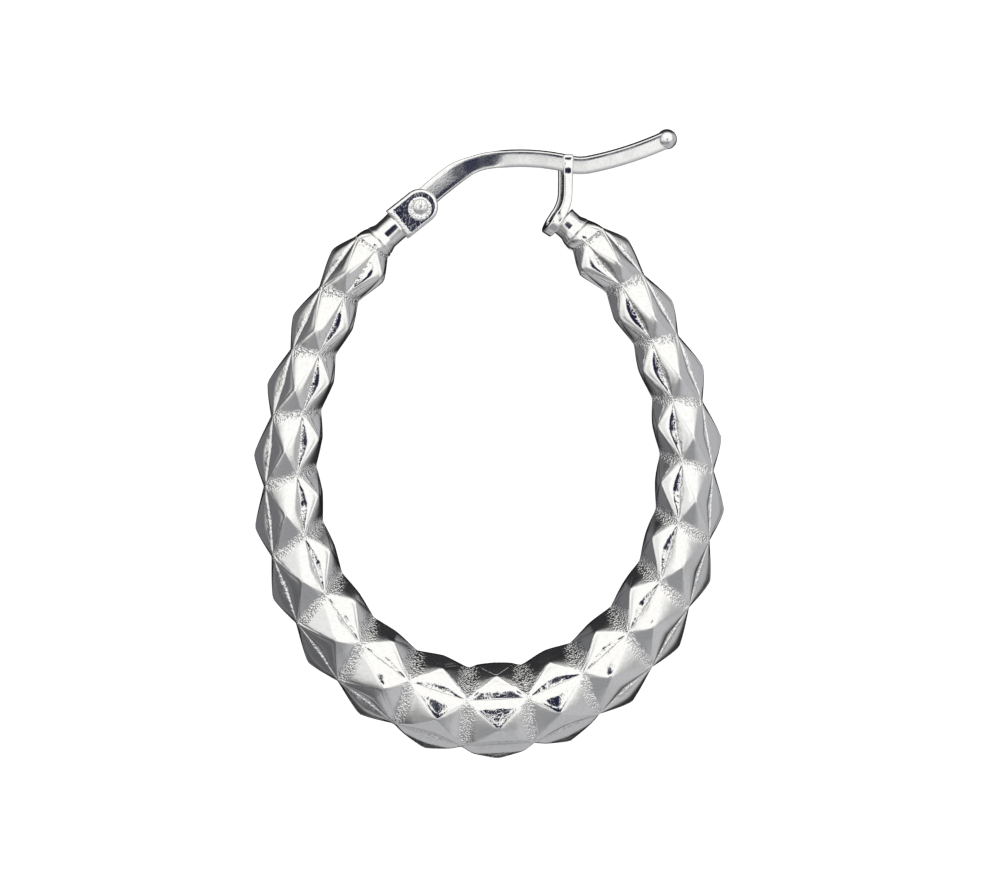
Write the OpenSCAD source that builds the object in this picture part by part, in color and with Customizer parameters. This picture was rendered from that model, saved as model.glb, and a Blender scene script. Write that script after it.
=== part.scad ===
// Oval hoop earring: a hollow faceted tube bent to an oval, a hinged ear post, and a fork that holds it shut.
// Millimetres. The hoop lies on its back as it rests: front face up (+Z), closed thick end to -Y, post to +Y.

/* [Tube path] */
// Length of one faceted segment along the middle of the tube
segment_pitch = 3.7; // [3.6:0.01:3.8]
// Bend of one segment at the thick end of the hoop, degrees
turn_mid = 21.5; // [21.2:0.1:21.8]
// How much less each next segment bends than the one before, degrees
turn_fall = 1.745; // [1.7:0.005:1.8]
// Largest lean of the facet rings off square to the tube, degrees
lean_max = 21.7; // [10:0.1:24]

/* [Tube section] */
// Radius to the corners of the five-sided necks at the thick end
neck_r_mid = 2.43; // [2.3:0.01:2.5]
// The same radius at the thin ends
neck_r_end = 1.2; // [1.15:0.01:1.3]
// How fast the necks grow from the ends to the middle
neck_taper = 1.78; // [1.5:0.01:2]
// Radius to the ridge points half way between necks, at the thick end
belly_r_mid = 2.6; // [2.5:0.01:2.7]
// The same radius at the thin ends
belly_r_end = 1.48; // [1.4:0.01:1.6]
// How fast the ridge points grow from the ends to the middle
belly_taper = 1.16; // [1:0.01:1.4]
// Extra depth of the section toward the inside of the hoop
inner_fill = 0.06; // [0:0.01:0.12]
// Bulge of the pillow-shaped facets at the thick end
pillow_mid = 0.16; // [0.1:0.01:0.2]
// The same bulge at the thin ends
pillow_end = 0.38; // [0.3:0.01:0.42]
// Bulge of the lozenges' long edges between neck and ridge point
edge_bulge = 0.1; // [0.05:0.01:0.14]
// Depth of the crease that halves each lozenge
crease = 0.05; // [0:0.01:0.08]
// Thickness of the metal of the hollow tube
wall = 0.25; // [0.2:0.01:0.3]

/* [Tube ends] */
// Radius of the plain round stub on each tube end
stub_r = 0.84; // [0.8:0.01:0.88]
// Radius of the closed tube end the stub stands on
cap_r = 0.98; // [0.94:0.01:1.05]

/* [Hinge] */
// Direction the hinge bracket points, degrees from +X
bracket_angle = 36.5; // [35:0.5:38]
// Width of the bracket and diameter of its rounded ears
bracket_w = 2.02; // [1.9:0.01:2.1]
// Distance from the rivet back to the foot of the bracket
bracket_back = 1.71; // [1.65:0.01:1.8]
// Thickness of one ear
ear_t = 0.45; // [0.35:0.01:0.5]
// Radius of the rivet's shank
rivet_r = 0.34; // [0.3:0.01:0.36]
// Radius of the rivet's domed heads
rivet_head_r = 0.47; // [0.44:0.01:0.5]
// Height of the rivet's domed heads
rivet_head_h = 0.2; // [0.12:0.01:0.24]
// Radial gap between the rivet and what it passes through
rivet_gap = 0.03; // [0.02:0.01:0.05]

/* [Ear post] */
// Thickness of the post between the ears
post_t = 0.72; // [0.6:0.01:0.8]
// Height of the post's flat side
post_h = 0.98; // [0.9:0.01:1.05]
// Bevel along the post's edges
post_bevel = 0.1; // [0.05:0.01:0.14]
// Radius of the post's round eye on the rivet
eye_r = 0.86; // [0.8:0.01:0.9]
// Direction in which the post leaves the rivet, degrees from +X
post_angle = 42.3; // [41:0.1:44]
// Radius of the ball on the post's tip
ball_r = 0.59; // [0.55:0.01:0.62]
// Gap between the post and each ear
ear_gap = 0.04; // [0.03:0.01:0.06]

/* [Catch] */
// Width of the catch's strip seen from the front
catch_w = 0.55; // [0.5:0.01:0.6]
// Thickness of each leg of the catch, front to back
catch_leg = 0.4; // [0.35:0.01:0.45]
// Half of the slot between the legs
catch_slot = 0.48; // [0.46:0.01:0.52]
// Direction of the catch's lower part along the tube end, degrees from +X
catch_low_angle = 56; // [52:1:60]
// Direction of the catch's upright legs, degrees from +X
catch_up_angle = 87; // [84:1:90]
// Turn of the catch about its upright legs, degrees
catch_twist = 9; // [0:1:10]

/* [Hidden] */
sides = 5;
last_belly = 9;
last_belly_at = 9.06;
last_neck = 9.4;
reach = 9.5;

// The end segments lie a little nearer the middle of the hoop, fuller at the belly and finer at the neck
end_shift = [0.24, 0.12];
end_belly = 0.14;
end_neck = -0.08;

// The right limb bends a little out and in about the even oval
sway = 0.12;
sway_rate = 40;

// Bulge of the triangles between the lozenges, at the neck, half way and at the ridge point
flat_bulge = [[0, 0.13], [0.5, 0.19], [1, 0.09]];
up = [0, 0, 1];

// The rivet and the tube ends, in the plane of the hoop, from the middle of the tube's thick end
rivet_at = [-3.405, 29.427];
left_cap = [-5.84, 27.5];
right_cap = [5.6, 27.6];
left_stub_angle = 40;
right_stub_angle = 137;
bend_at = [4.97, 29.3];
catch_low = 1.2;
catch_up = 2.85;

// The post runs through arcs, each [length, turn in degrees]
post_arcs = [[3.33, -9.8], [1.44, -25.7], [4.78, -22.2], [1.15, 24.7], [4.73, 13.4]];
post_steps = 12;
post_start = 0.5;

// The post's outer edge stands further out beside the hinge, as far as flare_from, and runs even from flare_to
flare = 0.27;
flare_from = 2.6;
flare_to = 4.3;

bracket_t = post_t + 2*ear_gap + 2*ear_t;
slot_floor = eye_r + 0.14;

function total(v) = [for (i = v) 1]*v;
function side(d) = d < 0 ? -1 : 1;
function lerp(a, b, t) = a + (b - a)*t;
function unit(v) = v/norm(v);
function flat(a) = [cos(a), sin(a)];

// The tube's middle line: d counts segments from the thick end, below 0 on the left
function turned(d) = turn_mid*d - turn_fall*d*d/2;
function walk(d, n = 24) =
    segment_pitch*d/n*total([for (i = [0:n - 1]) flat(turned(d*(i + 0.5)/n))]);
function outward(d) =
    let (a = turned(abs(d)) - lean_max*sin(180*min(abs(d)/reach, 1))) [side(d)*sin(a), -cos(a), 0];
function middle(d) =
    let (p = walk(abs(d)), t = max(0, min(2*(abs(d) - 8.5), 1)))
    [side(d)*(p.x - t*end_shift.x), p.y - t*end_shift.y, 0] - (d > 0 ? sway*sin(sway_rate*d) : 0)*outward(d);

function swell(d, thin, thick, power) = thin + (thick - thin)*pow(cos(90*min(abs(d)/reach, 1)), power);
function spoke(d, r, angle) =
    middle(d) + (r + inner_fill*pow(max(0, -sin(angle)), 2))*(sin(angle)*outward(d) + cos(angle)*up);
function corner(d, k, inset) =
    let (r = swell(d, neck_r_end, neck_r_mid, neck_taper) + (abs(d) == last_neck ? end_neck : 0))
    spoke(d, r - inset, 72*k - 18);
function ridge(i, k, inset) =
    let (last = abs(i) == last_belly, d = last ? side(i)*last_belly_at : i)
    spoke(d, swell(d, belly_r_end, belly_r_mid, belly_taper) + (last ? end_belly : 0) - inset, 72*k + 18);
function pillow(i) = pillow_mid + (pillow_end - pillow_mid)*pow(abs(i)/reach, 3);

// One ring of the tube: near and far are the segment's necks, belly its fullest place, t runs from near to belly.
// Around the ring: crease, pillow, edge, middle of the flat, edge, pillow, then the next crease.
function skin_ring(near, far, belly, t, inset = 0) =
    let (
        hub = lerp(middle(near), middle(belly), t),
        pillow_out = pillow(belly)*sin(90*t),
        edge_out = edge_bulge*sin(180*t),
        flat_out = lookup(t, flat_bulge)
    )
    [for (k = [0:sides - 1])
        let (
            a = corner(near, k, inset),
            c = corner(near, k + 1, inset),
            v = ridge(belly, k, inset),
            fold_a = lerp(a, corner(far, k, inset), t/2),
            fold_c = lerp(c, corner(far, k + 1, inset), t/2),
            e = t == 0 ? lerp(a, c, 0.06) : lerp(a, v, min(t, 0.95)),
            f = t == 0 ? lerp(c, a, 0.06) : lerp(c, v, min(t, 0.95)),
            p = t == 0 ? lerp(a, c, 0.03) : lerp(fold_a, e, 0.45),
            q = t == 0 ? lerp(c, a, 0.03) : lerp(fold_c, f, 0.45),
            g = lerp(lerp(a, c, 0.5), v, t)
        )
        each [
            fold_a - crease*t*unit(fold_a - hub),
            p + pillow_out*unit(p - hub),
            e + edge_out*unit(e - hub),
            g + flat_out*unit(g - hub),
            f + edge_out*unit(f - hub),
            q + pillow_out*unit(q - hub)
        ]
    ];

// A round ring that closes a tube end, turned square to the stub
function cap_ring(at, angle, r, turns) =
    let (out = flat(angle - 90*side(at.x)))
    [for (phi = turns) [at.x, at.y, 0] + r*(sin(phi)*[out.x, out.y, 0] + cos(phi)*up)];

// A closed skin over rings of equal count
module lofted(rings) {
    n = len(rings[0]);
    last = len(rings) - 1;
    points = [for (r = rings) each r, total(rings[0])/n, total(rings[last])/n];
    polyhedron(
        points = points,
        faces = [
            for (j = [0:last - 1], i = [0:n - 1])
                let (a = j*n + i, b = j*n + (i + 1)%n) each [[a, b + n, b], [a, a + n, b + n]],
            for (i = [0:n - 1]) [i, (i + 1)%n, (last + 1)*n],
            for (i = [0:n - 1]) [last*n + (i + 1)%n, last*n + i, (last + 1)*n + 1]
        ]
    );
}

function neck_of(d) = max(-last_neck, min(last_neck, d));

skin_rings = [
    for (i = [-last_belly:last_belly])
        let (a = neck_of(i - 0.5), b = neck_of(i + 0.5))
        each [skin_ring(a, b, i, 0), skin_ring(a, b, i, 0.5), skin_ring(a, b, i, 1), skin_ring(b, a, i, 0.5)],
    skin_ring(last_neck, last_belly - 0.5, last_belly, 0)
];

module tube_skin() {
    turns = [for (k = [0:sides - 1], s = [-18, -12, -2, 18, 38, 48]) 72*k + s];
    lofted([
        cap_ring(left_cap, left_stub_angle, cap_r, turns),
        each skin_rings,
        cap_ring(right_cap, right_stub_angle, cap_r, turns)
    ]);
}

// The hollow inside, with fewer rings than the skin
module tube_core() {
    inset = 1.24*wall;
    lofted([
        for (i = [-last_belly:last_belly])
            let (a = neck_of(i - 0.5), b = neck_of(i + 0.5))
            each [skin_ring(a, b, i, 0, inset), skin_ring(a, b, i, 1, inset)],
        skin_ring(last_neck, last_belly - 0.5, last_belly, 0, inset)
    ]);
}

module at_angle(at, angle) {
    translate([at.x, at.y, 0]) rotate([0, 0, angle]) children();
}

module stub(at, angle, long) {
    at_angle(at, angle) rotate([0, 90, 0]) translate([0, 0, -0.1]) cylinder(r = stub_r, h = long + 0.1, $fn = 64);
}

// The clevis the post turns in: two ears on a solid foot, bored for the rivet
module hinge_bracket() {
    at_angle(rivet_at, bracket_angle) difference() {
        union() {
            translate([0, 0, -bracket_t/2]) cylinder(d = bracket_w, h = bracket_t, $fn = 96);
            translate([-bracket_back, -bracket_w/2, -bracket_t/2]) cube([bracket_back, bracket_w, bracket_t]);
        }
        translate([-slot_floor, -bracket_w, -post_t/2 - ear_gap])
            cube([slot_floor + bracket_w, 2*bracket_w, post_t + 2*ear_gap]);
        translate([0, 0, -bracket_t]) cylinder(r = rivet_r + rivet_gap, h = 2*bracket_t, $fn = 64);
    }
}

// The fork: a strip bent to a U around the post's path, its lower part soldered along the stub's end
module catch_fork() {
    outer = catch_slot + catch_leg;
    at_angle(bend_at, catch_up_angle) rotate([catch_twist, 0, 0]) {
        for (s = [-1, 1]) {
            translate([0, -catch_w/2, s*(catch_slot + catch_leg/2) - catch_leg/2])
                cube([catch_up, catch_w, catch_leg]);
            translate([0, 0, s*(catch_slot + catch_leg/2) - catch_leg/2])
                cylinder(d = catch_w, h = catch_leg, $fn = 48);
        }
        rotate([0, 0, catch_low_angle - catch_up_angle]) translate([-catch_low, 0, 0]) rotate([-90, 0, 0])
            translate([0, 0, -catch_w/2]) difference() {
                union() {
                    cylinder(r = outer, h = catch_w, $fn = 96);
                    translate([0, -outer, 0]) cube([catch_low, 2*outer, catch_w]);
                }
                translate([0, 0, -1]) cylinder(r = catch_slot, h = catch_w + 2, $fn = 96);
                translate([0, -catch_slot, -1]) cube([catch_low + 1, 2*catch_slot, catch_w + 2]);
            }
    }
}

// How the hoop rests on its back, on the fullest places of its skin
rest_tilt = 1.95;
at_rest_skin = [
    for (r = skin_rings, p = r)
        [p.x, p.y*cos(rest_tilt) + p.z*sin(rest_tilt), p.z*cos(rest_tilt) - p.y*sin(rest_tilt)]
];
function lowest(axis) = min([for (p = at_rest_skin) p[axis]]);
function highest(axis) = max([for (p = at_rest_skin) p[axis]]);

// The post's middle line: the point, direction and length reached after part t of arc i
function arc_step(a, long, turn) =
    turn == 0 ? long*flat(a) : long*sin(turn/2)/(turn*PI/360)*flat(a + turn/2);
function arc_start(i) =
    i == 0 ? [rivet_at, post_angle, 0]
    : let (s = arc_start(i - 1), arc = post_arcs[i - 1])
        [s[0] + arc_step(s[1], arc[0], arc[1]), s[1] + arc[1], s[2] + arc[0]];
function post_place(i, t) =
    let (s = arc_start(i), arc = post_arcs[i])
    [s[0] + arc_step(s[1], t*arc[0], t*arc[1]), s[1] + t*arc[1], s[2] + t*arc[0]];
function flare_at(s) = flare*(1 + cos(180*max(0, min((s - flare_from)/(flare_to - flare_from), 1))))/2;
function post_ring(place) =
    let (
        i = -post_h/2,
        o = post_h/2 + flare_at(place[2]),
        z = post_t/2,
        b = post_bevel,
        across = flat(place[1] + 90)
    )
    [for (c = [[i + b, z], [i, z - b], [i, b - z], [i + b, -z], [o - b, -z], [o, b - z], [o, z - b], [o - b, z]])
        [place[0].x + c[0]*across.x, place[0].y + c[0]*across.y, c[1]]];

ball_at = arc_start(len(post_arcs))[0];
middle_x = (lowest(0) + highest(0))/2;
middle_y = (lowest(1) + ball_at.y*cos(rest_tilt) + ball_r)/2;

module at_rest() {
    translate([-middle_x, -middle_y, -lowest(2)]) rotate([-rest_tilt, 0, 0]) children();
}

module hoop_body() {
    color("Silver") at_rest() {
        difference() {
            tube_skin();
            tube_core();
        }
        stub(left_cap, left_stub_angle, 1.5);
        stub(right_cap, right_stub_angle, 1.1);
        hinge_bracket();
        catch_fork();
    }
}

module hinge_rivet() {
    half = bracket_t/2 + 0.02;
    dome = (rivet_head_r*rivet_head_r + rivet_head_h*rivet_head_h)/(2*rivet_head_h);
    color("Gainsboro") at_rest() at_angle(rivet_at, bracket_angle) {
        translate([0, 0, -half - 0.05]) cylinder(r = rivet_r, h = 2*half + 0.1, $fn = 64);
        for (s = [0, 180])
            rotate([s, 0, 0]) intersection() {
                translate([0, 0, half]) cylinder(r = rivet_head_r, h = rivet_head_h, $fn = 64);
                translate([0, 0, half + rivet_head_h - dome]) sphere(r = dome, $fn = 96);
            }
    }
}

module ear_post() {
    first = post_start/post_arcs[0][0];
    color("Gainsboro") at_rest() {
        difference() {
            at_angle(rivet_at, 0) translate([0, 0, -post_t/2]) cylinder(r = eye_r, h = post_t, $fn = 96);
            at_angle(rivet_at, 0) translate([0, 0, -post_t])
                cylinder(r = rivet_r + rivet_gap, h = 2*post_t, $fn = 64);
        }
        lofted([
            for (i = [0:len(post_arcs) - 1], j = [0:post_steps - 1])
                post_ring(post_place(i, i == 0 ? lerp(first, 1, j/post_steps) : j/post_steps)),
            post_ring(post_place(len(post_arcs) - 1, 1))
        ]);
        translate([ball_at.x, ball_at.y, 0]) sphere(r = ball_r, $fn = 64);
    }
}

hoop_body();
hinge_rivet();
ear_post();
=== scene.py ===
import math

import bpy
import numpy as np
from mathutils import Matrix, Vector


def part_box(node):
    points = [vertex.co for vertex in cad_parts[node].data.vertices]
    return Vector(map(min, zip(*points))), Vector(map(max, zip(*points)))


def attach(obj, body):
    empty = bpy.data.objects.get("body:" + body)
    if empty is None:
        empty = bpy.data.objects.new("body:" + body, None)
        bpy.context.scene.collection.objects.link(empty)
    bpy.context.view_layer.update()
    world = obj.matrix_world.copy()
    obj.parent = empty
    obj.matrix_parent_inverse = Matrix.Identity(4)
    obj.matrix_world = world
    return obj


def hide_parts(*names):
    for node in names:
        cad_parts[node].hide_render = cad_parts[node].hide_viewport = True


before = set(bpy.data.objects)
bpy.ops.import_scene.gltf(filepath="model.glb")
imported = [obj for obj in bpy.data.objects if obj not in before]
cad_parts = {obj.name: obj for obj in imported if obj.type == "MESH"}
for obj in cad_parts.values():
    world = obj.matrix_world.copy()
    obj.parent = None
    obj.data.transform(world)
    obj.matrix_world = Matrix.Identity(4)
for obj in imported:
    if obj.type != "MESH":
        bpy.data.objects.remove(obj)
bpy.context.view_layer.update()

# The looks of an oval hoop earring of polished silver, lying on its back with its front face up.
# Shapes are worked out in millimetres in the hoop's own plane: x to the right, y up toward the ear post,
# z toward the viewer, from the middle of the tube's thick end. AT_REST lays them down in the row frame.
# Angles are in degrees.

# Tube path. Places along it are counted in segments from the thick end, to the right above zero.
SEGMENT_PITCH = 3.7  # length of a segment
TURN_MID = 21.5  # bend of the middle segment
TURN_FALL = 1.745  # how much less each next segment bends
LEAN_MAX = 21.7  # how far the segments lean off square on the limbs
LAST_BELLY = 9
LAST_BELLY_AT = 9.06  # where the last belly really lies
LAST_NECK = 9.4
REACH = 9.5  # half the tube, over which its swell and its lean run
END_SHIFT = (0.24, 0.12)  # how far the ends are drawn in and down
END_SHIFT_FROM = 8.5
END_SHIFT_LONG = 0.5
SWAY = 0.12  # sideways wave of the right limb
SWAY_RATE = 40
PATH_STEPS = 24

# Tube section. A radius is given at the ends and at the thick end, with the power of the fall between.
SIDES = 5
SECTOR = 360 / SIDES
INNER = SIDES - 1  # number of the innermost crease, and of the side that follows it
NECK_R = (1.2, 2.43, 1.78)
BELLY_R = (1.48, 2.6, 1.16)
END_NECK = -0.08  # the last necks are slimmer by this, and the last bellies fuller
END_BELLY = 0.14
INNER_FILL = 0.06  # how far the inner side stands out

# Facets: a value in three parts is given at the thick end, on the limbs and at the tube's ends.
# A half lozenge climbs a wall beside its crease, rounds over at its top and falls as a plane to its rim.
# The top's place and the spread of the rounding are shares of the half's width.
LIMB_FROM = 3  # segment from which on the limbs' values hold
END_POWER = 4  # how late they give way to the ends' values
BAND_FADE = 2  # segment at which the walls no longer are even bands
WALL_SLOPE = (0.46, 0.42, 0.4)
PLANE_SLOPE = (0.18, 0.14, 0.4)
TOP_PLACE = (0.33, 0.37, 0.42)
TOP_SPREAD = (0.07, 0.3, 0.45)
TOP_LEAN = 0.15  # tops lie nearer the crease on one half than on the other
PROFILE_STEPS = 64
EDGE_BULGE = (0, 0.04, 0.04)  # of the rims, halfway from neck to belly
BELLY_BULGE = (0.13, 0.08, 0.1)  # of the rims, at the belly
FLAT_BULGE = (0.1, 0.11, 0.11)  # of the flats' middles, at the neck
INNER_PUFF = 2.0  # how much steeper the inner lozenges fall
VARIETY = 0.1  # how much one lozenge may differ from the next

# Rims: how they round off, and the fine groove that runs inside them
RIM_WIDE = 0.15
RIM_DROP = 0.02
INNER_RIM = 0.3
RIM_REACH = 0.97  # a flat's two rims stop just short of their meeting at the belly
NECK_GAP = 0.05  # share of a flat by which its rims start apart from the neck's corners
GROOVE_IN = 0.16
GROOVE_WIDE = 0.07
GROOVE_DEEP = 0.012
GROOVE_FULL = 0.8  # width of half a lozenge from which on the groove is at its full depth

# Rough places: how far the stipple reaches from a neck, as a share of the way to the belly, and the jags
# beside the creases
GRAIN_REACH = 0.2
THICK_GRAIN_REACH = 0.3
INNER_GRAIN_REACH = 0.45
INNER_GRAIN_FADE = (3, 6)  # segments over which the inner side's longer reach fades
LOZENGE_GRAIN = 0.35
JAGS_WIDE = 0.14
JAGS_RISE = (0.175, 0.675)  # shares of the way to the belly over which the jags grow
THICK_JAGS = 0.22

# The front ridge is turned toward the front crease, in degrees given in three parts, and slid toward
# the thick end, in segments.
RIDGE_TURN = (0, 11, 6)
RIDGE_SLIDE = 0.11  # of the third segment
RIDGE_SLIDE_FALL = 0.05  # how much less each next one slides

# How finely the tube is drawn: rows from neck to belly, points across half a lozenge and across a flat
ROWS = 12
HALF_POINTS = 15
FLAT_POINTS = 10
CROWDING = 0.7  # how far those points crowd toward the edges
TURNS = 64  # points round a turned piece

# Plain tube ends, and the stubs between them and the hinge and the catch
LEFT_CAP = (-5.84, 27.5)
RIGHT_CAP = (5.6, 27.6)
LEFT_STUB_ANGLE = 40
RIGHT_STUB_ANGLE = 137
LEFT_STUB = 1.5
RIGHT_STUB = 1.1
CAP_R = 0.98
CAP_HALF = 20  # turn of the round end that carries half a lozenge
END_RINGS = 8
END_PUFF = 0.05  # how far a plain end bulges on its way from the last neck
STUB_R = 0.84
STUB_CORE = 0.2  # radius at which its hidden start closes
STUB_FLARE = 0.03
STUB_FLATTEN = 0.05
FLATTEN_WIDE = 0.35  # half width of a flattened face, as a share of the radius
SEAM = 0.03
SEAM_DEEP = 0.035
STUB_WAIST_LONG = 0.5
STUB_WAIST_FROM = 0.12
STUB_STRAIGHT_FROM = 0.6

# Hinge: a bracket of two ears on a foot, with the rivet through them
RIVET_AT = (-3.405, 29.427)
BRACKET_ANGLE = 36.5
BRACKET_W = 2.02
BRACKET_BACK = 1.71  # from the rivet back to the bracket's foot
BRACKET_ARC_POINTS = 40
BRACKET_EDGE_POINTS = 12
POST_T = 0.72
EAR_T = 0.45
EAR_GAP = 0.04  # between the post's eye and an ear
EAR_INNER = POST_T / 2 + EAR_GAP
EAR_OUTER = EAR_INNER + EAR_T
BRACKET_FOOT_OVERLAP = 0.01
BRACKET_FOOT_CLEAR = 0.14
RIVET_R = 0.34
RIVET_HEAD_R = 0.46
RIVET_HEAD_H = 0.2
HEAD_LIFT = 0.02  # of the dome over the ear's face
HEAD_ROOT = 0.04  # how deep the head's root lies in the ear
HEAD_ROOT_SHARE = 0.9
DOME_TURN = 88  # the dome is closed by a fan just short of its top

# The ears' bevel: inset from the sides, inset from the foot, depth under the outer face
EAR_BEVEL = (
    (0, 0, 0.12),
    (0.02, 0.04, 0.07),
    (0.08, 0.17, 0.025),
    (0.15, 0.34, 0.005),
    (0.18, 0.4, 0),
    (0.2, 0.43, 0),
    (0.5, 0.8, 0),
)

# The ring that riveting left around a head: radius and height over the ear
SWAGE_RINGS = ((0.36, 0.02), (0.5, 0.035), (0.56, 0.035), (0.61, 0.03), (0.66, 0.015), (0.7, -0.01))
SWAGE_SHIFT = (-0.05, -0.12)
SWAGE_STIPPLE = 0.03
SWAGE_TURNS = 60

# Ear post: a strip through arcs, each with its length and its turn
POST_H = 0.98
POST_ARCS = ((3.33, -9.8), (1.44, -25.7), (4.78, -22.2), (1.15, 24.7), (4.73, 13.4))
POST_ANGLE = 42.3
POST_CROWN = 0.004
STRIP_FROM = 0.5  # length from the rivet at which the strip starts, inside the eye
FLARE = 0.27  # how far its outer edge stands out beside the hinge
FLARE_FROM = 2.6
FLARE_TO = 4.3
POST_TWIST = 6
FIRST_TWIST = 0.88  # share of it beside the hinge
FIRST_TWIST_FADE = (2.1, 4.5)
LATE_TWIST_RISE = (5.1, 5.8)
CORNER_R = 0.09  # of the strips of the post and the catch
CORNER_STEPS = 5
EYE_R = 0.86
EYE_BEVEL = 0.06
BALL_R = 0.59
BALL_STEPS = 32
BALL_POLE_R = 0.004  # radius of the fans that close the ball

# Catch: a strip bent to a fork, worked out along its upper part from its bend.
# Widths and thicknesses of its parts are shares of the full ones.
CATCH_AT = (4.97, 29.3)
CATCH_W = 0.55
CATCH_LEG = 0.4  # thickness of a leg
CATCH_SLOT = 0.48  # half the gap between the legs
CATCH_LOW = 1.2  # length below the bend
CATCH_UP = 2.85  # length above the bend
CATCH_LOW_ANGLE = 56
CATCH_UP_ANGLE = 87
CATCH_BEND = 0.6  # how far the bend reaches along either part
CATCH_TIP = 0.08  # length of a leg's rounded tip
CATCH_TIP_STEPS = (0, 0.03, 0.08, 0.2)
CATCH_TIP_WIDE = 0.94
CATCH_TIP_THICK = 0.5
CATCH_TOP_WIDE = 1.08
CATCH_WAIST_WIDE = 0.95
CATCH_WAIST_HASTE = 1.3  # a leg is at its waist before it bends
CATCH_BEND_WIDE = 1.02
CATCH_FOOT_WIDE = 1.08
CATCH_FOOT_THICK = 1.12
CATCH_TWIST = 9  # turn of the whole fork about its upper part
CATCH_DENTS = ((2.75, 0.3), (1.92, 0.24), (-0.75, 0.25))  # place and half width of each dent

# Silver: scales are in waves to the metre, depths in microns
WARM_SILVER = (0.96, 0.957, 0.95)
PLAIN_SILVER = (0.95, 0.95, 0.95)
RIVET_SILVER = (0.95, 0.95, 0.945)
DULL_SHARE = 0.93
PATCH_SCALE = 900
FINE_SCALE = 5200
JAGS_SCALE = 4500
STIPPLE_SCALE = 8000
SCRATCH_SCALE = 1600
WOBBLE_SCALE = 1800
WOBBLE_DEEP = 14
GRAIN_DEEP = 80
JAGS_DEEP = 80
JAGS_STIPPLE_DEEP = 12
MICRON = 0.000001

# How the hoop rests, and the camera's place over it
REST_TILT = 1.95
CAMERA_TURN = -2.732
CAMERA_RISE = 2.902
CAMERA_ROLL = 1.95
CAMERA_FAR = 358.1
CAMERA_AIM = (0.213, 15.472)
FOCAL_SHARE = 6.174  # focal length over the width of the sensor
SENSOR_WIDE = 36

# The floor, in metres
FLOOR_HALF = 1.5
FLOOR_PALE = 0.9
FLOOR_GLOW = 0.7

# The studio, from its grey and the patches laid over it in turn. Each patch has its brightness, its
# direction, and the angles from that direction within which it is full and beyond which it is gone.
STUDIO_GREY = 0.33
SOFT_BOX = (1.04, (0.1, 0.55, 0.83), 40, 80)  # the big light, over the post
LEFT_LAMP = (0.85, (-0.85, 0.05, 0.5), 5, 28)
FRONT_GAP = (0.3, (0, -0.77, 0.64), 15, 45)  # between the soft box and the front card
ROOM_BELOW = (0.03, (0, 0.3, -1), 55, 92)  # the dark room that the metal's underside mirrors
LEFT_WALL = (0.16, (-1, 0, -0.45), 20, 45)
RIGHT_WALL = (0.46, (1, 0.15, -0.15), 15, 45)
RIGHT_CARD = (0.51, (0.66, -0.66, 0.3), 15, 35)  # grey cards beyond the thick end
FRONT_CARD = (0.46, (0, -1, -0.1), 25, 45)
LEFT_GAP = (0.12, (-0.8, -0.6, 0), 12, 32)  # dark, between the front card and the left wall
UNDERSIDE = (0.01, (0, 0, -1), 25, 50)
STUDIO = (
    SOFT_BOX,
    LEFT_LAMP,
    FRONT_GAP,
    ROOM_BELOW,
    LEFT_WALL,
    RIGHT_WALL,
    RIGHT_CARD,
    FRONT_CARD,
    LEFT_GAP,
    UNDERSIDE,
)
# Bright patches take the warm tint, dark ones the cool one. The lens shows as a dark spot.
WARM = (1.0, 0.997, 0.985)
COOL = (0.95, 0.965, 1.04)
LENS_DARK = (0.015, 0.018, 0.045)
LENS_ANGLES = (7, 12)

MM = 0.001
UP = np.array([0.0, 0.0, 1.0])
lozenge_variety = np.random.default_rng(11).uniform(-1, 1, (2 * LAST_BELLY + 1, SIDES))


# Small helpers

def flat(angle):
    """The direction at an angle in the hoop's plane."""
    return np.array([math.cos(math.radians(angle)), math.sin(math.radians(angle)), 0.0])


def spot(at, z=0.0):
    """A point over a place in the hoop's plane."""
    return np.array([*at, z])


def lerp(a, b, t):
    return a + (b - a) * t


def unit(v):
    return v / np.linalg.norm(v, axis=-1, keepdims=True)


def ease(t):
    t = min(max(t, 0.0), 1.0)
    return t * t * (3 - 2 * t)


def ramp(x, low, high):
    """From 0 at low to 1 at high, eased at both."""
    return ease((x - low) / (high - low))


def level_circle(turns):
    """Points of a unit circle in the hoop's plane."""
    phi = np.linspace(0, 2 * math.pi, turns, endpoint=False)
    return np.stack([np.cos(phi), np.sin(phi), np.zeros(turns)], axis=1)


# Placement and meshes

def rest_matrix():
    """From the hoop's plane in millimetres to the row frame in metres, fitted at the rivet's middle."""
    low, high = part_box("hinge_rivet")
    turn = Matrix.Rotation(math.radians(-REST_TILT), 4, "X")
    rivet_middle = turn @ Vector((*RIVET_AT, 0)) * MM
    return Matrix.Translation((low + high) / 2 - rivet_middle) @ turn @ Matrix.Scale(MM, 4)


AT_REST = rest_matrix()


def new_piece(name, points, faces, material, body, masks, smooth):
    """A mesh piece from points in the hoop's plane, with named point masks for its material."""
    mesh = bpy.data.meshes.new(name)
    mesh.from_pydata([AT_REST @ Vector(p) for p in points], [], faces)
    mesh.validate()
    mesh.update()
    mesh.materials.append(material)
    mesh.polygons.foreach_set("use_smooth", [smooth] * len(mesh.polygons))
    for mask, values in masks.items():
        layer = mesh.attributes.new(mask, "FLOAT", "POINT")
        layer.data.foreach_set("value", np.asarray(values, np.float32))
    piece = bpy.data.objects.new(name, mesh)
    bpy.context.scene.collection.objects.link(piece)
    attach(piece, body)
    return piece


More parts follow.
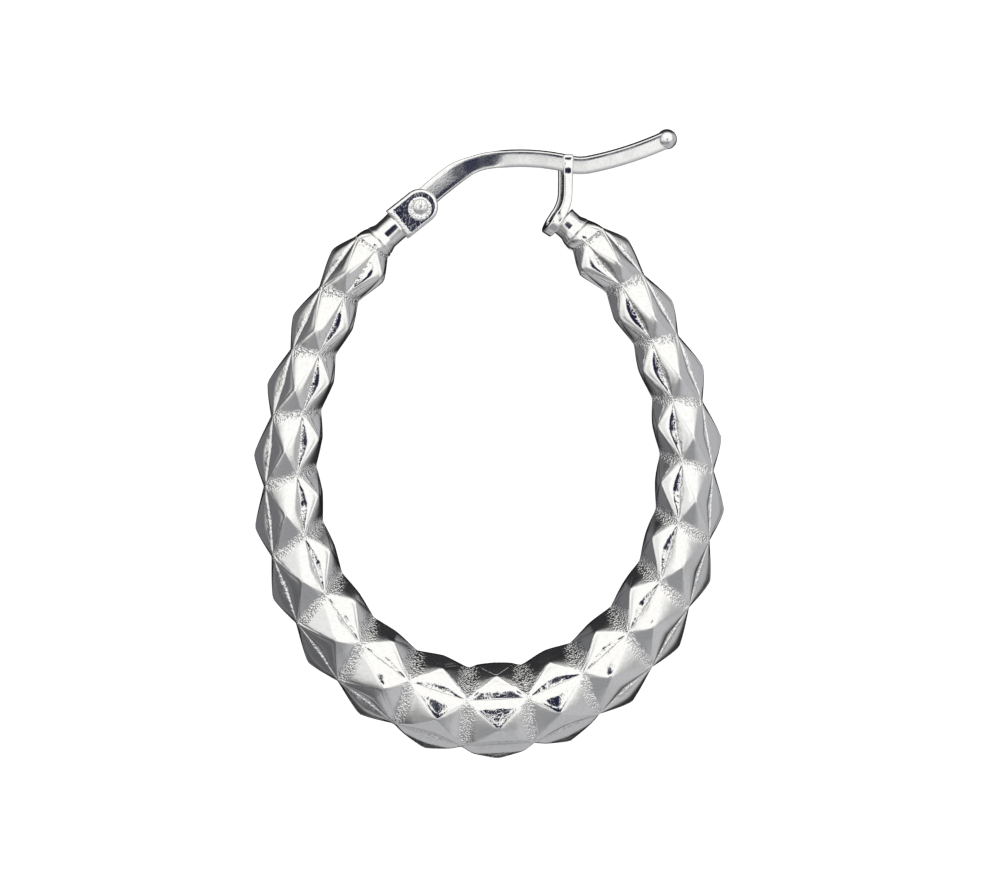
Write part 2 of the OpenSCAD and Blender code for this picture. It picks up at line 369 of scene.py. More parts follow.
def loft_faces(rows, count):
    """Faces over rings of equal count, both ends closed with a fan to one of the last two points."""
    faces = []
    for j in range(rows - 1):
        for i in range(count):
            a = j * count + i
            b = j * count + (i + 1) % count
            faces.append((a, b, b + count, a + count))
    first = rows * count
    for i in range(count):
        after = (i + 1) % count
        faces.append((after, i, first))
        faces.append(((rows - 1) * count + i, (rows - 1) * count + after, first + 1))
    return faces


def loft(name, rings, material, body, masks=None, smooth=True):
    """A closed skin over rings, with the middle of the first and last ring as its ends."""
    points = [p for ring in rings for p in ring]
    points += [np.mean(rings[0], axis=0), np.mean(rings[-1], axis=0)]
    faces = loft_faces(len(rings), len(rings[0]))
    closed = {k: [*np.concatenate(v), v[0][0], v[-1][0]] for k, v in (masks or {}).items()}
    return new_piece(name, points, faces, material, body, closed, smooth)


# Tube path and section

def along(values, i):
    """A value for segment i, from its values at the thick end, on the limbs and at the tube's ends."""
    thick, limb, end = values
    return lerp(lerp(thick, limb, ramp(abs(i), 0, LIMB_FROM)), end, (abs(i) / LAST_BELLY) ** END_POWER)


def turned(d):
    """The path's direction at a place along it."""
    return TURN_MID * d - TURN_FALL * d * d / 2


def outward(d):
    """The direction away from the hoop's middle in which the section at a place lies."""
    a = math.radians(turned(abs(d)) - LEAN_MAX * math.sin(math.pi * min(abs(d) / REACH, 1)))
    return np.array([math.copysign(math.sin(a), d), -math.cos(a), 0.0])


def middle(d):
    """The point of the path at a place along it."""
    far = abs(d)
    place = sum((flat(turned(far * (i + 0.5) / PATH_STEPS)) for i in range(PATH_STEPS)), np.zeros(3))
    place = place * SEGMENT_PITCH * far / PATH_STEPS
    end = max(0.0, min((far - END_SHIFT_FROM) / END_SHIFT_LONG, 1.0))
    place -= end * spot(END_SHIFT)
    place[0] = math.copysign(place[0], d)
    if d > 0:
        place = place - SWAY * math.sin(math.radians(SWAY_RATE * d)) * outward(d)
    return place


def swell(d, sizes):
    thin, thick, power = sizes
    return thin + (thick - thin) * math.cos(math.pi / 2 * min(abs(d) / REACH, 1)) ** power


def spoke(d, r, angle):
    """The point at a radius and an angle round the section at a place."""
    s = math.sin(math.radians(angle))
    c = math.cos(math.radians(angle))
    return middle(d) + (r + INNER_FILL * max(0.0, -s) ** 2) * (s * outward(d) + c * UP)


def corner(d, k):
    """Corner k of the neck at a place, where crease k meets it."""
    r = swell(d, NECK_R) + (END_NECK if abs(d) == LAST_NECK else 0)
    return spoke(d, r, SECTOR * k - SECTOR / 4)


def ridge(i, k):
    """The tip of side k at the belly of segment i, where two lozenges meet."""
    last = abs(i) == LAST_BELLY
    d = math.copysign(LAST_BELLY_AT, i) if last else i
    angle = SECTOR * k + SECTOR / 4
    if k == 0:
        angle -= along(RIDGE_TURN, i)
        slide = RIDGE_SLIDE - RIDGE_SLIDE_FALL * (abs(i) - LIMB_FROM)
        d -= math.copysign(slide * ramp(abs(i), 0, LIMB_FROM), d)
    return spoke(d, swell(d, BELLY_R) + (END_BELLY if last else 0), angle)


# Tube skin

def crowded(count):
    """Places from 0 up to 1, without 1 itself, closer together toward both."""
    even = np.arange(count) / count
    return lerp(even, (1 - np.cos(math.pi * even)) / 2, CROWDING)


def half_profile(wall, plane, top, spread):
    """Rise across half a lozenge of unit width, from its crease to its rim."""
    u = np.linspace(0, 1, PROFILE_STEPS + 1)
    turn = np.clip((u - top) / (2 * spread) + 0.5, 0, 1)
    slope = lerp(wall, -plane, turn * turn * (3 - 2 * turn))
    rise = np.concatenate([[0], np.cumsum(slope[1:] + slope[:-1]) / 2]) / PROFILE_STEPS
    return u, rise


class TubeRing:
    """One ring of the tube, a share t of the way from the near neck of a segment to its belly.

    Its points come with two masks: grain for the stipple along the necks, and jags for the torn metal
    beside the creases that halve the lozenges."""

    def __init__(self, near, far, belly, t):
        self.near = near
        self.far = far
        self.belly = belly
        self.t = t
        self.hub = lerp(middle(near), middle(belly), t)
        self.band = 1 - ramp(abs(belly), 0, BAND_FADE)
        rounded = lerp(math.sin(math.pi / 2 * t) ** 2, t, self.band)
        self.edge = along(EDGE_BULGE, belly) * math.sin(math.pi * t) + along(BELLY_BULGE, belly) * rounded
        self.points = []
        self.grain = []
        self.jags = []
        for side in range(SIDES):
            self.add_side(side)

    def add(self, line, height, grain, jags):
        """Points that stand by their heights off a line, away from the ring's hub."""
        self.points.extend(line + height[:, None] * unit(line - self.hub))
        self.grain.extend(grain)
        self.jags.extend(jags)

    def rim_drop(self, away, side):
        """How far the metal rounds off at distances from a rim of a side's flat."""
        soft = INNER_RIM if side == INNER else 1
        return soft * (1 - self.t ** 3) * RIM_DROP * (1 - np.clip(away / RIM_WIDE, 0, 1)) ** 2

    def grain_reach(self, side):
        """How far the stipple of a side's flat reaches, as a share of the way to the belly."""
        if side == INNER:
            return lerp(INNER_GRAIN_REACH, GRAIN_REACH, ramp(abs(self.belly), *INNER_GRAIN_FADE))
        return lerp(GRAIN_REACH, THICK_GRAIN_REACH, self.band)

    def half_heights(self, side, crease, wide, share):
        """Heights over the half lozenge between a crease and a side's flat, at shares of its width.

        Its wall tapers to the necks on the limbs, and is an even band at the thick end, where it lifts the
        rim too."""
        kinds = (WALL_SLOPE, PLANE_SLOPE, TOP_PLACE, TOP_SPREAD)
        wall, plane, top, spread = (along(values, self.belly) for values in kinds)
        fold = (corner(self.near, crease) + corner(self.far, crease)) / 2
        full = np.linalg.norm(ridge(self.belly, side) - fold)
        varied = 1 + VARIETY * lozenge_variety[self.belly, crease % SIDES]
        puffed = varied * (INNER_PUFF if crease == INNER else 1)
        lean = TOP_LEAN if crease > side else -TOP_LEAN
        place, rise = half_profile(wall * varied, plane * puffed, top * (1 + lean), spread)
        taper = wide * np.interp(share, place, rise)
        even = full * np.interp(share * min(wide / full, 1), place, rise)
        return lerp(taper, even, self.band) - wide * rise[-1]

    def add_half(self, side, crease, fold, rim, share):
        """The half lozenge between a crease and a side's flat, at shares of the way from fold to rim."""
        wide = np.linalg.norm(rim - fold)
        away = (1 - share) * wide
        groove = GROOVE_DEEP * ramp(wide, 0, GROOVE_FULL) * np.exp(-((away - GROOVE_IN) / GROOVE_WIDE) ** 2)
        height = self.half_heights(side, crease, wide, share) + self.edge * share
        height = height - self.rim_drop(away, side) - groove
        grain = np.full(len(share), LOZENGE_GRAIN * max(0, 1 - self.t / GRAIN_REACH))
        beside = np.exp(-(share * wide / JAGS_WIDE) ** 2)
        jags = lerp(beside, THICK_JAGS, self.band) * ramp(self.t, *JAGS_RISE)
        self.add(fold + (rim - fold) * share[:, None], height, grain, jags)

    def add_flat(self, side, rims, lifts):
        """The flat of a side, from one rim to the other, each lifted as the half lozenge beyond it is."""
        x = crowded(FLAT_POINTS)
        wide = np.linalg.norm(rims[1] - rims[0])
        crown = along(FLAT_BULGE, self.belly) * (1 - self.t) * (1 - (2 * x - 1) ** 2)
        height = self.edge + lerp(*lifts, x) + crown - self.rim_drop(np.minimum(x, 1 - x) * wide, side)
        grain = np.full(FLAT_POINTS, max(0.0, 1 - self.t / self.grain_reach(side)))
        self.add(rims[0] + (rims[1] - rims[0]) * x[:, None], height, grain, np.zeros(FLAT_POINTS))

    def add_side(self, side):
        """A side of the section: a half lozenge, the flat, and the first half of the next lozenge."""
        t = self.t
        creases = (side, side + 1)
        corners = [corner(self.near, k) for k in creases]
        folds = [lerp(start, corner(self.far, k), t / 2) for start, k in zip(corners, creases)]
        gap = NECK_GAP * (1 - t) ** 4 * (corners[1] - corners[0])
        tip = ridge(self.belly, side)
        reached = min(t, RIM_REACH)
        rims = [lerp(corners[0], tip, reached) + gap, lerp(corners[1], tip, reached) - gap]
        lifts = [
            self.half_heights(side, k, np.linalg.norm(rim - fold), np.ones(1))
            for k, fold, rim in zip(creases, folds, rims)
        ]
        share = crowded(HALF_POINTS)
        self.add_half(side, creases[0], folds[0], rims[0], share)
        self.add_flat(side, rims, lifts)
        self.add_half(side, creases[1], folds[1], rims[1], 1 - share)


def cap_circle(at, angle, r):
    """A round ring square to a stub, its points matched to those of the tube's rings."""
    out = flat(angle - math.copysign(90, at[0]))
    u = np.arange(HALF_POINTS) / HALF_POINTS
    x = np.arange(FLAT_POINTS) / FLAT_POINTS
    flat_turn = SECTOR - 2 * CAP_HALF
    first_half = CAP_HALF * u - SECTOR / 4
    flat_part = CAP_HALF + flat_turn * x - SECTOR / 4
    stops = np.concatenate([first_half, flat_part, first_half + CAP_HALF + flat_turn])
    turns = np.radians([SECTOR * k + s for k in range(SIDES) for s in stops])
    return spot(at) + r * (np.sin(turns)[:, None] * out + np.cos(turns)[:, None] * UP)


def tube_end(row, at, angle):
    """Rings from the last neck to the plain round end of the tube."""
    circle = cap_circle(at, angle, CAP_R)
    rings = []
    for s in np.linspace(0, 1, END_RINGS + 1)[1:]:
        ring = lerp(row, circle, s)
        hub = ring.mean(axis=0)
        rings.append(ring + END_PUFF * math.sin(math.pi * s) * unit(ring - hub))
    return rings


def hoop_tube(material):
    """The faceted tube, from the plain end on the left round to the one on the right."""
    rings = []
    for i in range(-LAST_BELLY, LAST_BELLY + 1):
        a = max(-LAST_NECK, i - 0.5)
        b = min(LAST_NECK, i + 0.5)
        rings += [TubeRing(a, b, i, j / ROWS) for j in range(ROWS)]
        rings += [TubeRing(b, a, i, 1 - j / ROWS) for j in range(ROWS)]
    rings.append(TubeRing(LAST_NECK, LAST_BELLY - 0.5, LAST_BELLY, 0))
    rows = [np.array(ring.points) for ring in rings]
    left = tube_end(rows[0], LEFT_CAP, LEFT_STUB_ANGLE)[::-1]
    right = tube_end(rows[-1], RIGHT_CAP, RIGHT_STUB_ANGLE)
    plain = [np.zeros(len(rows[0]))]
    masks = {
        "grain": plain * len(left) + [ring.grain for ring in rings] + plain * len(right),
        "crease": plain * len(left) + [ring.jags for ring in rings] + plain * len(right),
    }
    tube = loft("hoop_tube", left + rows + right, material, "hoop", masks)
    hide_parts("hoop_body")
    return tube


# Round pieces

def lathe(name, at, angle, profile, material, body, turns=TURNS, flatten=0.0):
    """A round piece along a direction in the hoop's plane, from (distance, radius) pairs, with its front
    and back flattened by a share of the radius."""
    phi = np.linspace(0, 2 * math.pi, turns, endpoint=False)
    height = np.sin(phi) * (1 - flatten * np.exp(-(np.cos(phi) / FLATTEN_WIDE) ** 2))
    circle = np.cos(phi)[:, None] * flat(angle + 90) + height[:, None] * UP
    rings = [spot(at) + d * flat(angle) + r * circle for d, r in profile]
    return loft(name, rings, material, body)


def upright_lathe(name, at, profile, material, body):
    """A round piece that stands square to the hoop's plane, from (height, radius) pairs."""
    circle = level_circle(TURNS)
    return loft(name, [spot(at, z) + r * circle for z, r in profile], material, body)


def tube_stub(name, at, angle, long, material):
    """The short neck between a tube end and what is soldered to it, with a fine seam at the tube."""
    seam = [(-SEAM, STUB_CORE), (-SEAM, CAP_R - SEAM_DEEP), (SEAM / 2, CAP_R - SEAM_DEEP), (SEAM, CAP_R)]
    steps = np.linspace(STUB_WAIST_FROM, 1, 9)
    waist = [(SEAM + STUB_WAIST_LONG * s, lerp(CAP_R, STUB_R, ease(s))) for s in steps]
    rest = [(lerp(STUB_STRAIGHT_FROM, long, s), STUB_R + STUB_FLARE * s ** 4) for s in np.linspace(0, 1, 6)]
    stub = lathe(name, at, angle, seam + waist + rest, material, "hoop", flatten=STUB_FLATTEN)
    return stub


# Hinge

def facing(rings, side):
    """The rings, each turned round for a piece on the back, whose faces then look outward too."""
    return rings if side > 0 else [ring[::-1] for ring in rings]


def bracket_outline(inset, base_inset, z):
    """The outline of the hinge bracket, a rounded tab, drawn in from its sides and from its foot."""
    r = BRACKET_W / 2 - inset
    foot = -BRACKET_BACK + base_inset
    run = np.linspace(foot, 0, BRACKET_EDGE_POINTS, endpoint=False)
    arc = np.radians(np.linspace(-90, 90, BRACKET_ARC_POINTS))
    lower = [(s, -r) for s in run]
    tip = [(r * math.cos(a), r * math.sin(a)) for a in arc]
    upper = [(s, r) for s in run[::-1]]
    base = [(foot, y) for y in np.linspace(r, -r, BRACKET_EDGE_POINTS)[1:-1]]
    x_dir, y_dir = flat(BRACKET_ANGLE), flat(BRACKET_ANGLE + 90)
    return np.array([spot(RIVET_AT, z) + x * x_dir + y * y_dir for x, y in lower + tip + upper + base])


def bracket_ear(name, side, material):
    """One ear of the bracket, its outer face drawn in by a bevel all round and sloped at the foot."""
    steps = [(0, 0, EAR_INNER)] + [(inset, base, EAR_OUTER - deep) for inset, base, deep in EAR_BEVEL]
    rings = [bracket_outline(inset, base, side * z) for inset, base, z in steps]
    return loft(name, facing(rings, side), material, "hoop")


def bracket_foot(material):
    """The solid foot between the ears."""
    half = EAR_INNER + BRACKET_FOOT_OVERLAP
    x_dir, y_dir = flat(BRACKET_ANGLE), flat(BRACKET_ANGLE + 90)
    rings = []
    for x in (-BRACKET_BACK, -EYE_R - BRACKET_FOOT_CLEAR):
        origin = spot(RIVET_AT) + x * x_dir
        square = ((-1, -1), (1, -1), (1, 1), (-1, 1))
        rings.append(np.array([origin + a * BRACKET_W / 2 * y_dir + b * half * UP for a, b in square]))
    return loft("bracket_foot", rings, material, "hoop", smooth=False)


def rivet(material):
    """The rivet: a shank with a dome at each end, its root sunk in the ring that riveting left."""
    arc = np.radians(np.linspace(0, DOME_TURN, 14))
    base = [(EAR_OUTER - HEAD_ROOT, RIVET_HEAD_R * HEAD_ROOT_SHARE), (EAR_OUTER, RIVET_HEAD_R)]
    dome = [(EAR_OUTER + HEAD_LIFT + RIVET_HEAD_H * math.sin(a), RIVET_HEAD_R * math.cos(a)) for a in arc]
    head = base + dome
    profile = [(-z, r) for z, r in head[::-1]] + [(0, RIVET_R)] + head
    piece = upright_lathe("hinge_rivet_dome", RIVET_AT, profile, material, "hoop")
    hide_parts("hinge_rivet")
    return piece


def swage_ring(name, side, material):
    """The stippled ring that the riveting left on the ear around the head, a little off its middle."""
    rng = np.random.default_rng(7)
    circle = level_circle(SWAGE_TURNS)
    centre = spot(RIVET_AT) + spot(SWAGE_SHIFT)
    rows = []
    for r, z in SWAGE_RINGS:
        height = EAR_OUTER + z + (rng.random(SWAGE_TURNS) - 0.5) * SWAGE_STIPPLE
        rows.append(centre + r * circle + (side * height)[:, None] * UP)
    ring = loft(name, facing(rows, side)[::-1], material, "hoop", smooth=False)
    return ring


# Ear post

def arc_step(long, angle, turn):
    """How far an arc of a length leads that starts at an angle and turns by another."""
    part = math.radians(turn / 2)
    bow = math.sin(part) / part if part else 1.0
    return long * bow * flat(angle + turn / 2)


def post_places(steps=26):
    """Points of the post's middle line with its direction and the length reached."""
    at, angle, reached = spot(RIVET_AT), POST_ANGLE, 0.0
    places = []
    for long, turn in POST_ARCS:
        for j in range(steps):
            t = j / steps
            places.append((at + arc_step(long * t, angle, turn * t), angle + turn * t, reached + long * t))
        at = at + arc_step(long, angle, turn)
        angle += turn
        reached += long
    places.append((at, angle, reached))
    return places


def strip_section():
    """The outline of a flat strip with rounded corners.

    Each point is given by its shares of the strip's half width and half thickness, and by what the
    corner's arc adds to them in millimetres."""
    outline = []
    for side, face, start in ((1, 1, 0), (-1, 1, 90), (-1, -1, 180), (1, -1, 270)):
        for a in np.radians(np.linspace(start, start + 90, CORNER_STEPS)):
            outline.append((side, face, CORNER_R * (math.cos(a) - side), CORNER_R * (math.sin(a) - face)))
        for s in (0.25, 0.5, 0.75):
            if side == face:
                outline.append((side * (1 - 2 * s), face, 0, 0))
            else:
                outline.append((side, face * (1 - 2 * s), 0, 0))
    return outline


def post_twist(reached):
    """How far the strip is turned about its own length, one way by the hinge and the other far from it."""
    first = FIRST_TWIST * (1 - ramp(reached, *FIRST_TWIST_FADE))
    return POST_TWIST * (ramp(reached, *LATE_TWIST_RISE) - first)


def flare(reached):
    """How far the post's outer edge stands out beyond its even width at a length along it."""
    return FLARE * (1 - ramp(reached, FLARE_FROM, FLARE_TO))


def post_strip(material):
    """The bent strip of the post, slightly crowned, and wider on its outer edge beside the hinge."""
    rings = []
    for at, angle, reached in post_places():
        if reached < STRIP_FROM:
            continue
        extra = flare(reached) / 2
        tilt = math.radians(post_twist(reached))
        across = flat(angle + 90) * math.cos(tilt) + UP * math.sin(tilt)
        up = UP * math.cos(tilt) - flat(angle + 90) * math.sin(tilt)
        ring = []
        for y, z, dy, dz in strip_section():
            half_w = POST_H / 2 + extra
            half_t = POST_T / 2 - POST_CROWN * y * y
            ring.append(at + (y * half_w + dy + extra) * across + (z * half_t + dz) * up)
        rings.append(np.array(ring))
    strip = loft("ear_post_strip", rings, material, "post")
    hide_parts("ear_post")
    return strip


def post_eye(material):
    """The round end of the post on the rivet."""
    half = POST_T / 2
    rim = EYE_R - EYE_BEVEL
    profile = [(-half, rim), (-half + EYE_BEVEL, EYE_R), (half - EYE_BEVEL, EYE_R), (half, rim)]
    return upright_lathe("ear_post_eye", RIVET_AT, profile, material, "post")


def post_ball(material):
    """The ball at the post's tip."""
    at, angle, _ = post_places()[-1]
    arc = np.radians(np.linspace(180, 0, BALL_STEPS + 1))
    profile = [(BALL_R * math.cos(a), max(BALL_R * math.sin(a), BALL_POLE_R)) for a in arc]
    ball = lathe("ear_post_ball", at[:2], angle, profile, material, "post", turns=48)
    return ball


# Catch

def catch_leg():
    """Middle line of a leg of the fork, from its top down past its bend to its foot.

    Each place is (x, y, turn, share of the full width, share of the full thickness)."""
    bend = CATCH_LOW_ANGLE - CATCH_UP_ANGLE
    radius = CATCH_BEND / math.tan(math.radians(abs(bend) / 2))
    low = flat(bend)
    leg = []
    for s in CATCH_TIP_STEPS:
        tip = min(s / CATCH_TIP, 1) ** 0.5
        wide = lerp(CATCH_TIP_WIDE, CATCH_TOP_WIDE, tip)
        leg.append((CATCH_UP - s, 0.0, 0.0, wide, lerp(CATCH_TIP_THICK, 1, tip)))
    straight_from = CATCH_UP - CATCH_TIP_STEPS[-1]
    for s in np.linspace(0, 1, 24)[1:]:
        x = lerp(straight_from, CATCH_BEND, s)
        leg.append((x, 0.0, 0.0, lerp(CATCH_TOP_WIDE, CATCH_WAIST_WIDE, ease(CATCH_WAIST_HASTE * s)), 1.0))
    for s in np.linspace(0, 1, 11)[1:]:
        swing = math.radians(abs(bend) * s)
        x = CATCH_BEND - radius * math.sin(swing)
        y = radius * (1 - math.cos(swing))
        leg.append((x, y, bend * s, lerp(CATCH_WAIST_WIDE, CATCH_BEND_WIDE, s), 1.0))
    for s in np.linspace(CATCH_BEND, CATCH_LOW, 6)[1:]:
        wide = lerp(CATCH_BEND_WIDE, CATCH_FOOT_WIDE, s / CATCH_LOW)
        leg.append((-s * low[0], -s * low[1], bend, wide, 1.0))
    return leg


def catch_path():
    """Middle line of the fork from the front leg's top round its foot to the back leg's top.

    Each place is (x, y, z, turn, share of the full width, share of the full thickness)."""
    half_way = CATCH_SLOT + CATCH_LEG / 2
    bend = CATCH_LOW_ANGLE - CATCH_UP_ANGLE
    low = flat(bend)
    foot = []
    for a in np.radians(np.linspace(90, -90, 17)[1:-1]):
        s = CATCH_LOW + half_way * math.cos(a)
        thick = lerp(1.0, CATCH_FOOT_THICK, math.cos(a))
        foot.append((-s * low[0], -s * low[1], half_way * math.sin(a), bend, CATCH_FOOT_WIDE, thick))
    front = [(x, y, half_way, turn, wide, thick) for x, y, turn, wide, thick in catch_leg()]
    back = [(x, y, -z, turn, wide, thick) for x, y, z, turn, wide, thick in front[::-1]]
    return front + foot + back


def catch_roll(s):
    """The fork's front leg is dented at a few places, where its face is turned back to look straight up."""
    return CATCH_TWIST * sum(math.exp(-((s - at) / wide) ** 4) for at, wide in CATCH_DENTS)


def catch_fork(material):
    """The forked catch, swept along its path and turned about its bend into its place."""
    path = catch_path()
    ahead = unit(np.gradient(np.array([place[:3] for place in path]), axis=0))
    stand = Matrix.Rotation(math.radians(CATCH_UP_ANGLE), 3, "Z")
    twist = Matrix.Rotation(math.radians(CATCH_TWIST), 3, "X")
    turn = np.array(stand @ twist)
    rings = []
    for (x, y, z, angle, wide, thick), heading in zip(path, ahead):
        side = flat(angle + 90)
        face = unit(np.cross(heading, side))
        roll = math.radians(catch_roll(x)) if z > 0 else 0.0
        across = side * math.cos(roll) + face * math.sin(roll)
        front = face * math.cos(roll) - side * math.sin(roll)
        half_w = wide * CATCH_W / 2
        half_t = thick * CATCH_LEG / 2
        ring = [
            spot((x, y), z) + (a * half_w + da) * across + (b * half_t + min(thick, 1) * db) * front
            for a, b, da, db in strip_section()
        ]
        rings.append(np.array(ring) @ turn.T + spot(CATCH_AT))
    return loft("catch_fork", rings, material, "hoop")


# Materials

class NodeTree:
    """A material's or the world's nodes, with the few kinds that are used here."""

    def __init__(self, tree):
        self.nodes = tree.nodes
        self.links = tree.links
        self.coords = tree.nodes.new("ShaderNodeTexCoord")

    def pattern(self, kind, **values):
        """A texture node over the piece's own coordinates, with its sockets set."""
        node = self.nodes.new(kind)
        for name, value in values.items():
            node.inputs[name].default_value = value
        self.links.new(self.coords.outputs["Object"], node.inputs["Vector"])
        return node

    def noise(self, scale, detail=3.0, rough=0.5):
        return self.pattern("ShaderNodeTexNoise", Scale=scale, Detail=detail, Roughness=rough).outputs["Fac"]

    def remap(self, source, low, high, to_low, to_high):
        node = self.nodes.new("ShaderNodeMapRange")
        node.interpolation_type = "SMOOTHSTEP"
        for name, value in (("From Min", low), ("From Max", high), ("To Min", to_low), ("To Max", to_high)):
            node.inputs[name].default_value = value
        self.links.new(source, node.inputs["Value"])
        return node.outputs["Result"]

    def multiply(self, a, b):
        node = self.nodes.new("ShaderNodeMath")
        node.operation = "MULTIPLY"
        self.links.new(a, node.inputs[0])
        self.links.new(b, node.inputs[1])
        return node.outputs["Value"]

    def mask(self, name):
        node = self.nodes.new("ShaderNodeAttribute")
        node.attribute_name = name
        return node.outputs["Fac"]

    def bump(self, height, microns, under=None):
        node = self.nodes.new("ShaderNodeBump")
        node.inputs["Distance"].default_value = microns * MICRON
        node.inputs["Strength"].default_value = 1.0
        self.links.new(height, node.inputs["Height"])
        if under:
            self.links.new(under, node.inputs["Normal"])
        return node.outputs["Normal"]

    def blend(self, factor, under, over):
        """Two colours mixed by a factor. The one under is a colour or the output of a node."""
        node = self.nodes.new("ShaderNodeMix")
        node.data_type = "RGBA"
        self.links.new(factor, node.inputs["Factor"])
        if isinstance(under, tuple):
            node.inputs["A"].default_value = (*under, 1)
        else:
            self.links.new(under, node.inputs["A"])
        node.inputs["B"].default_value = (*over, 1)
        return node.outputs["Result"]


def shader(name):
    material = bpy.data.materials.new(name)
    material.use_nodes = True
    return material, material.node_tree.nodes["Principled BSDF"]


def silver(name, tint, gloss, ripple, with_masks=False, speck=0.0, scratch=0.0):
    """Polished silver of uneven gloss with a faint ripple, and specks, scratches or masked roughness."""
    material, principled = shader(name)
    tree = NodeTree(material.node_tree)
    patches = tree.noise(PATCH_SCALE)
    fine = tree.noise(FINE_SCALE, detail=4.0, rough=0.65)
    cells = tree.pattern("ShaderNodeTexVoronoi", Scale=STIPPLE_SCALE).outputs["Distance"]
    stipple = tree.remap(cells, 0.1, 0.65, 0.0, 1.0)
    normal = tree.bump(fine, ripple)
    if speck:
        normal = tree.bump(stipple, speck, under=normal)
    if scratch:
        waves = tree.pattern("ShaderNodeTexWave", Scale=SCRATCH_SCALE, Distortion=16, Detail=3)
        lines = tree.remap(waves.outputs["Fac"], 0.0, 0.12, 0.0, 1.0)
        normal = tree.bump(lines, scratch, under=normal)
    if with_masks:
        normal = tree.bump(tree.noise(WOBBLE_SCALE, detail=2.0), WOBBLE_DEEP, under=normal)
        jags = tree.noise(JAGS_SCALE, detail=2.0)
        uneven = tree.remap(patches, 0.3, 0.6, 0.5, 1.0)
        roughness = (
            ("grain", stipple, GRAIN_DEEP),
            ("crease", stipple, JAGS_STIPPLE_DEEP),
            ("crease", jags, JAGS_DEEP),
        )
        for mask, height, deep in roughness:
            here = tree.multiply(tree.mask(mask), uneven)
            normal = tree.bump(tree.multiply(height, here), deep, under=normal)
    principled.inputs["Metallic"].default_value = 1.0
    dull = tuple(c * DULL_SHARE for c in tint)
    shade = tree.blend(tree.remap(fine, 0.45, 0.7, 0.0, 1.0), tint, dull)
    tree.links.new(shade, principled.inputs["Base Color"])
    tree.links.new(tree.remap(patches, 0.35, 0.65, *gloss), principled.inputs["Roughness"])
    tree.links.new(normal, principled.inputs["Normal"])
    return material


# Camera, floor and light

def camera_matrix():
    """The camera's place and turn over the hoop, in the row frame, in metres."""
    turn = (
        Matrix.Rotation(math.radians(CAMERA_RISE), 3, "X")
        @ Matrix.Rotation(math.radians(-CAMERA_TURN), 3, "Y")
        @ Matrix.Rotation(math.radians(CAMERA_ROLL), 3, "Z")
    ).transposed()
    place = turn @ Vector((*CAMERA_AIM, CAMERA_FAR))
    rest_turn = AT_REST.to_3x3().normalized()
    return Matrix.Translation(AT_REST @ place) @ (rest_turn @ turn).to_4x4()


def add_camera():
    data = bpy.data.cameras.new("camera")
    data.sensor_width = SENSOR_WIDE
    data.lens = FOCAL_SHARE * SENSOR_WIDE
    data.clip_start = 0.01
    camera = bpy.data.objects.new("camera", data)
    bpy.context.scene.collection.objects.link(camera)
    camera.matrix_world = camera_matrix()
    bpy.context.scene.camera = camera


def floor_material():
    """Pale and faintly glowing, and unseen in the metal, whose underside shows the studio below instead."""
    material, principled = shader("floor_pale")
    principled.inputs["Base Color"].default_value = (FLOOR_PALE, FLOOR_PALE, FLOOR_PALE, 1)
    principled.inputs["Roughness"].default_value = 0.9
    principled.inputs["Emission Color"].default_value = (1, 1, 1, 1)
    principled.inputs["Emission Strength"].default_value = FLOOR_GLOW
    nodes, links = material.node_tree.nodes, material.node_tree.links
    clear = nodes.new("ShaderNodeBsdfTransparent")
    path = nodes.new("ShaderNodeLightPath")
    mix = nodes.new("ShaderNodeMixShader")
    links.new(path.outputs["Is Glossy Ray"], mix.inputs["Fac"])
    links.new(principled.outputs["BSDF"], mix.inputs[1])
    links.new(clear.outputs["BSDF"], mix.inputs[2])
    links.new(mix.outputs["Shader"], nodes["Material Output"].inputs["Surface"])
    return material


def add_floor():
    corners = [(x * FLOOR_HALF, y * FLOOR_HALF, 0) for x, y in ((-1, -1), (1, -1), (1, 1), (-1, 1))]
    mesh = bpy.data.meshes.new("floor")
    mesh.from_pydata(corners, [], [(0, 1, 2, 3)])
    mesh.materials.append(floor_material())
    floor = bpy.data.objects.new("floor", mesh)
    bpy.context.scene.collection.objects.link(floor)


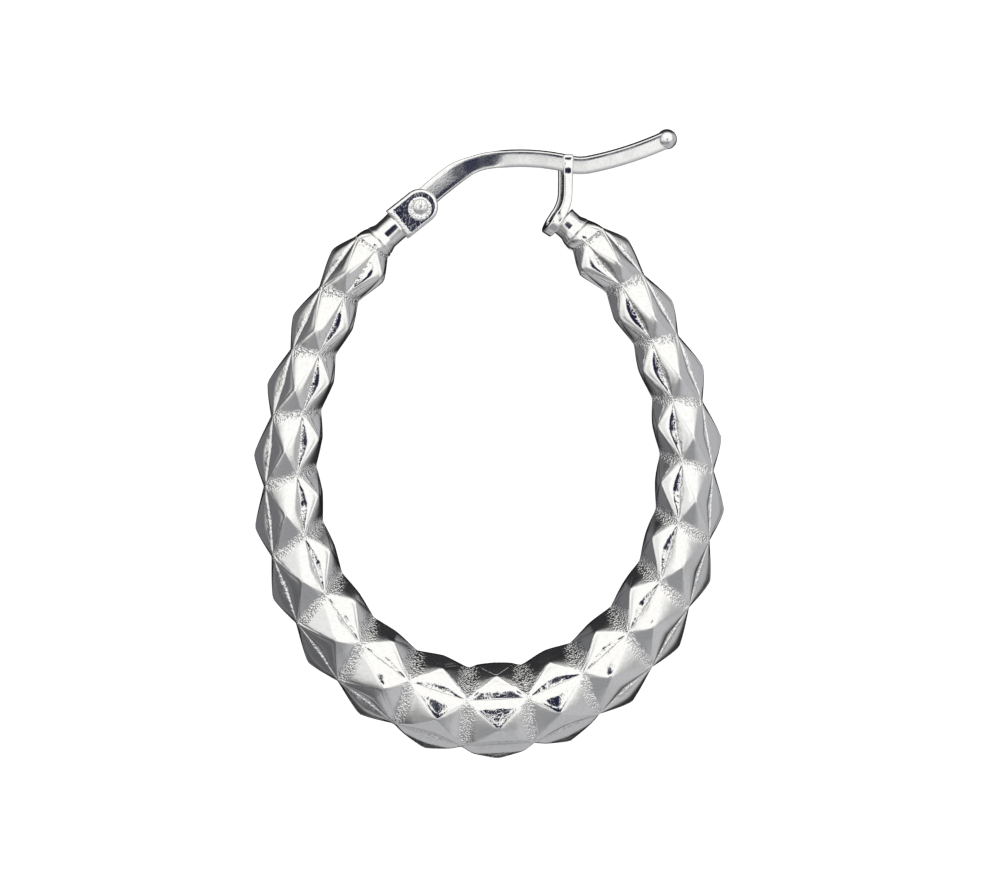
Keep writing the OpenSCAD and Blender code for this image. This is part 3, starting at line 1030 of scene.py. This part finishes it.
def lay_patch(tree, under, colour, direction, inner, outer):
    """A colour laid over the sky: full within the inner angle of a direction, gone by the outer one."""
    dot = tree.nodes.new("ShaderNodeVectorMath")
    dot.operation = "DOT_PRODUCT"
    dot.inputs[1].default_value = Vector(direction).normalized()
    tree.links.new(tree.coords.outputs["Generated"], dot.inputs[0])
    gone = math.cos(math.radians(outer))
    full = math.cos(math.radians(inner))
    return tree.blend(tree.remap(dot.outputs["Value"], gone, full, 0.0, 1.0), under, colour)


def add_light():
    """A soft white studio, brightest over the post and dark below, with the lens as a dark spot straight
    over the hoop's front."""
    world = bpy.data.worlds.new("studio")
    bpy.context.scene.world = world
    world.use_nodes = True
    tree = NodeTree(world.node_tree)
    sky = tuple(STUDIO_GREY * c for c in WARM)
    for grey, direction, inner, outer in STUDIO:
        colour = tuple(grey * lerp(cool, warm, grey) for cool, warm in zip(COOL, WARM))
        sky = lay_patch(tree, sky, colour, direction, inner, outer)
    hoop_front = AT_REST.to_3x3().normalized() @ Vector((0, 0, 1))
    sky = lay_patch(tree, sky, LENS_DARK, hoop_front, *LENS_ANGLES)
    background = tree.nodes["Background"]
    tree.links.new(sky, background.inputs["Color"])
    background.inputs["Strength"].default_value = 1.0


def build():
    tube_metal = silver("silver_tube", WARM_SILVER, gloss=(0.06, 0.12), ripple=1.5, with_masks=True)
    plain_metal = silver("silver_plain", WARM_SILVER, gloss=(0.06, 0.13), ripple=2)
    ear_metal = silver("silver_ear", PLAIN_SILVER, gloss=(0.07, 0.11), ripple=1.5, speck=3.4)
    post_metal = silver("silver_post", PLAIN_SILVER, gloss=(0.12, 0.17), ripple=0.8, speck=0.6)
    rivet_metal = silver("silver_rivet", RIVET_SILVER, gloss=(0.1, 0.2), ripple=3, scratch=20)

    hoop_tube(tube_metal)
    tube_stub("stub_left", LEFT_CAP, LEFT_STUB_ANGLE, LEFT_STUB, plain_metal)
    tube_stub("stub_right", RIGHT_CAP, RIGHT_STUB_ANGLE, RIGHT_STUB, plain_metal)
    bracket_foot(plain_metal)
    for side, name in ((1, "front"), (-1, "back")):
        bracket_ear("bracket_ear_" + name, side, ear_metal)
        swage_ring("swage_ring_" + name, side, ear_metal)
    rivet(rivet_metal)
    post_strip(post_metal)
    post_eye(post_metal)
    post_ball(post_metal)
    catch_fork(plain_metal)

    add_camera()
    add_floor()
    add_light()
    bpy.context.scene.view_settings.view_transform = "Standard"


build()
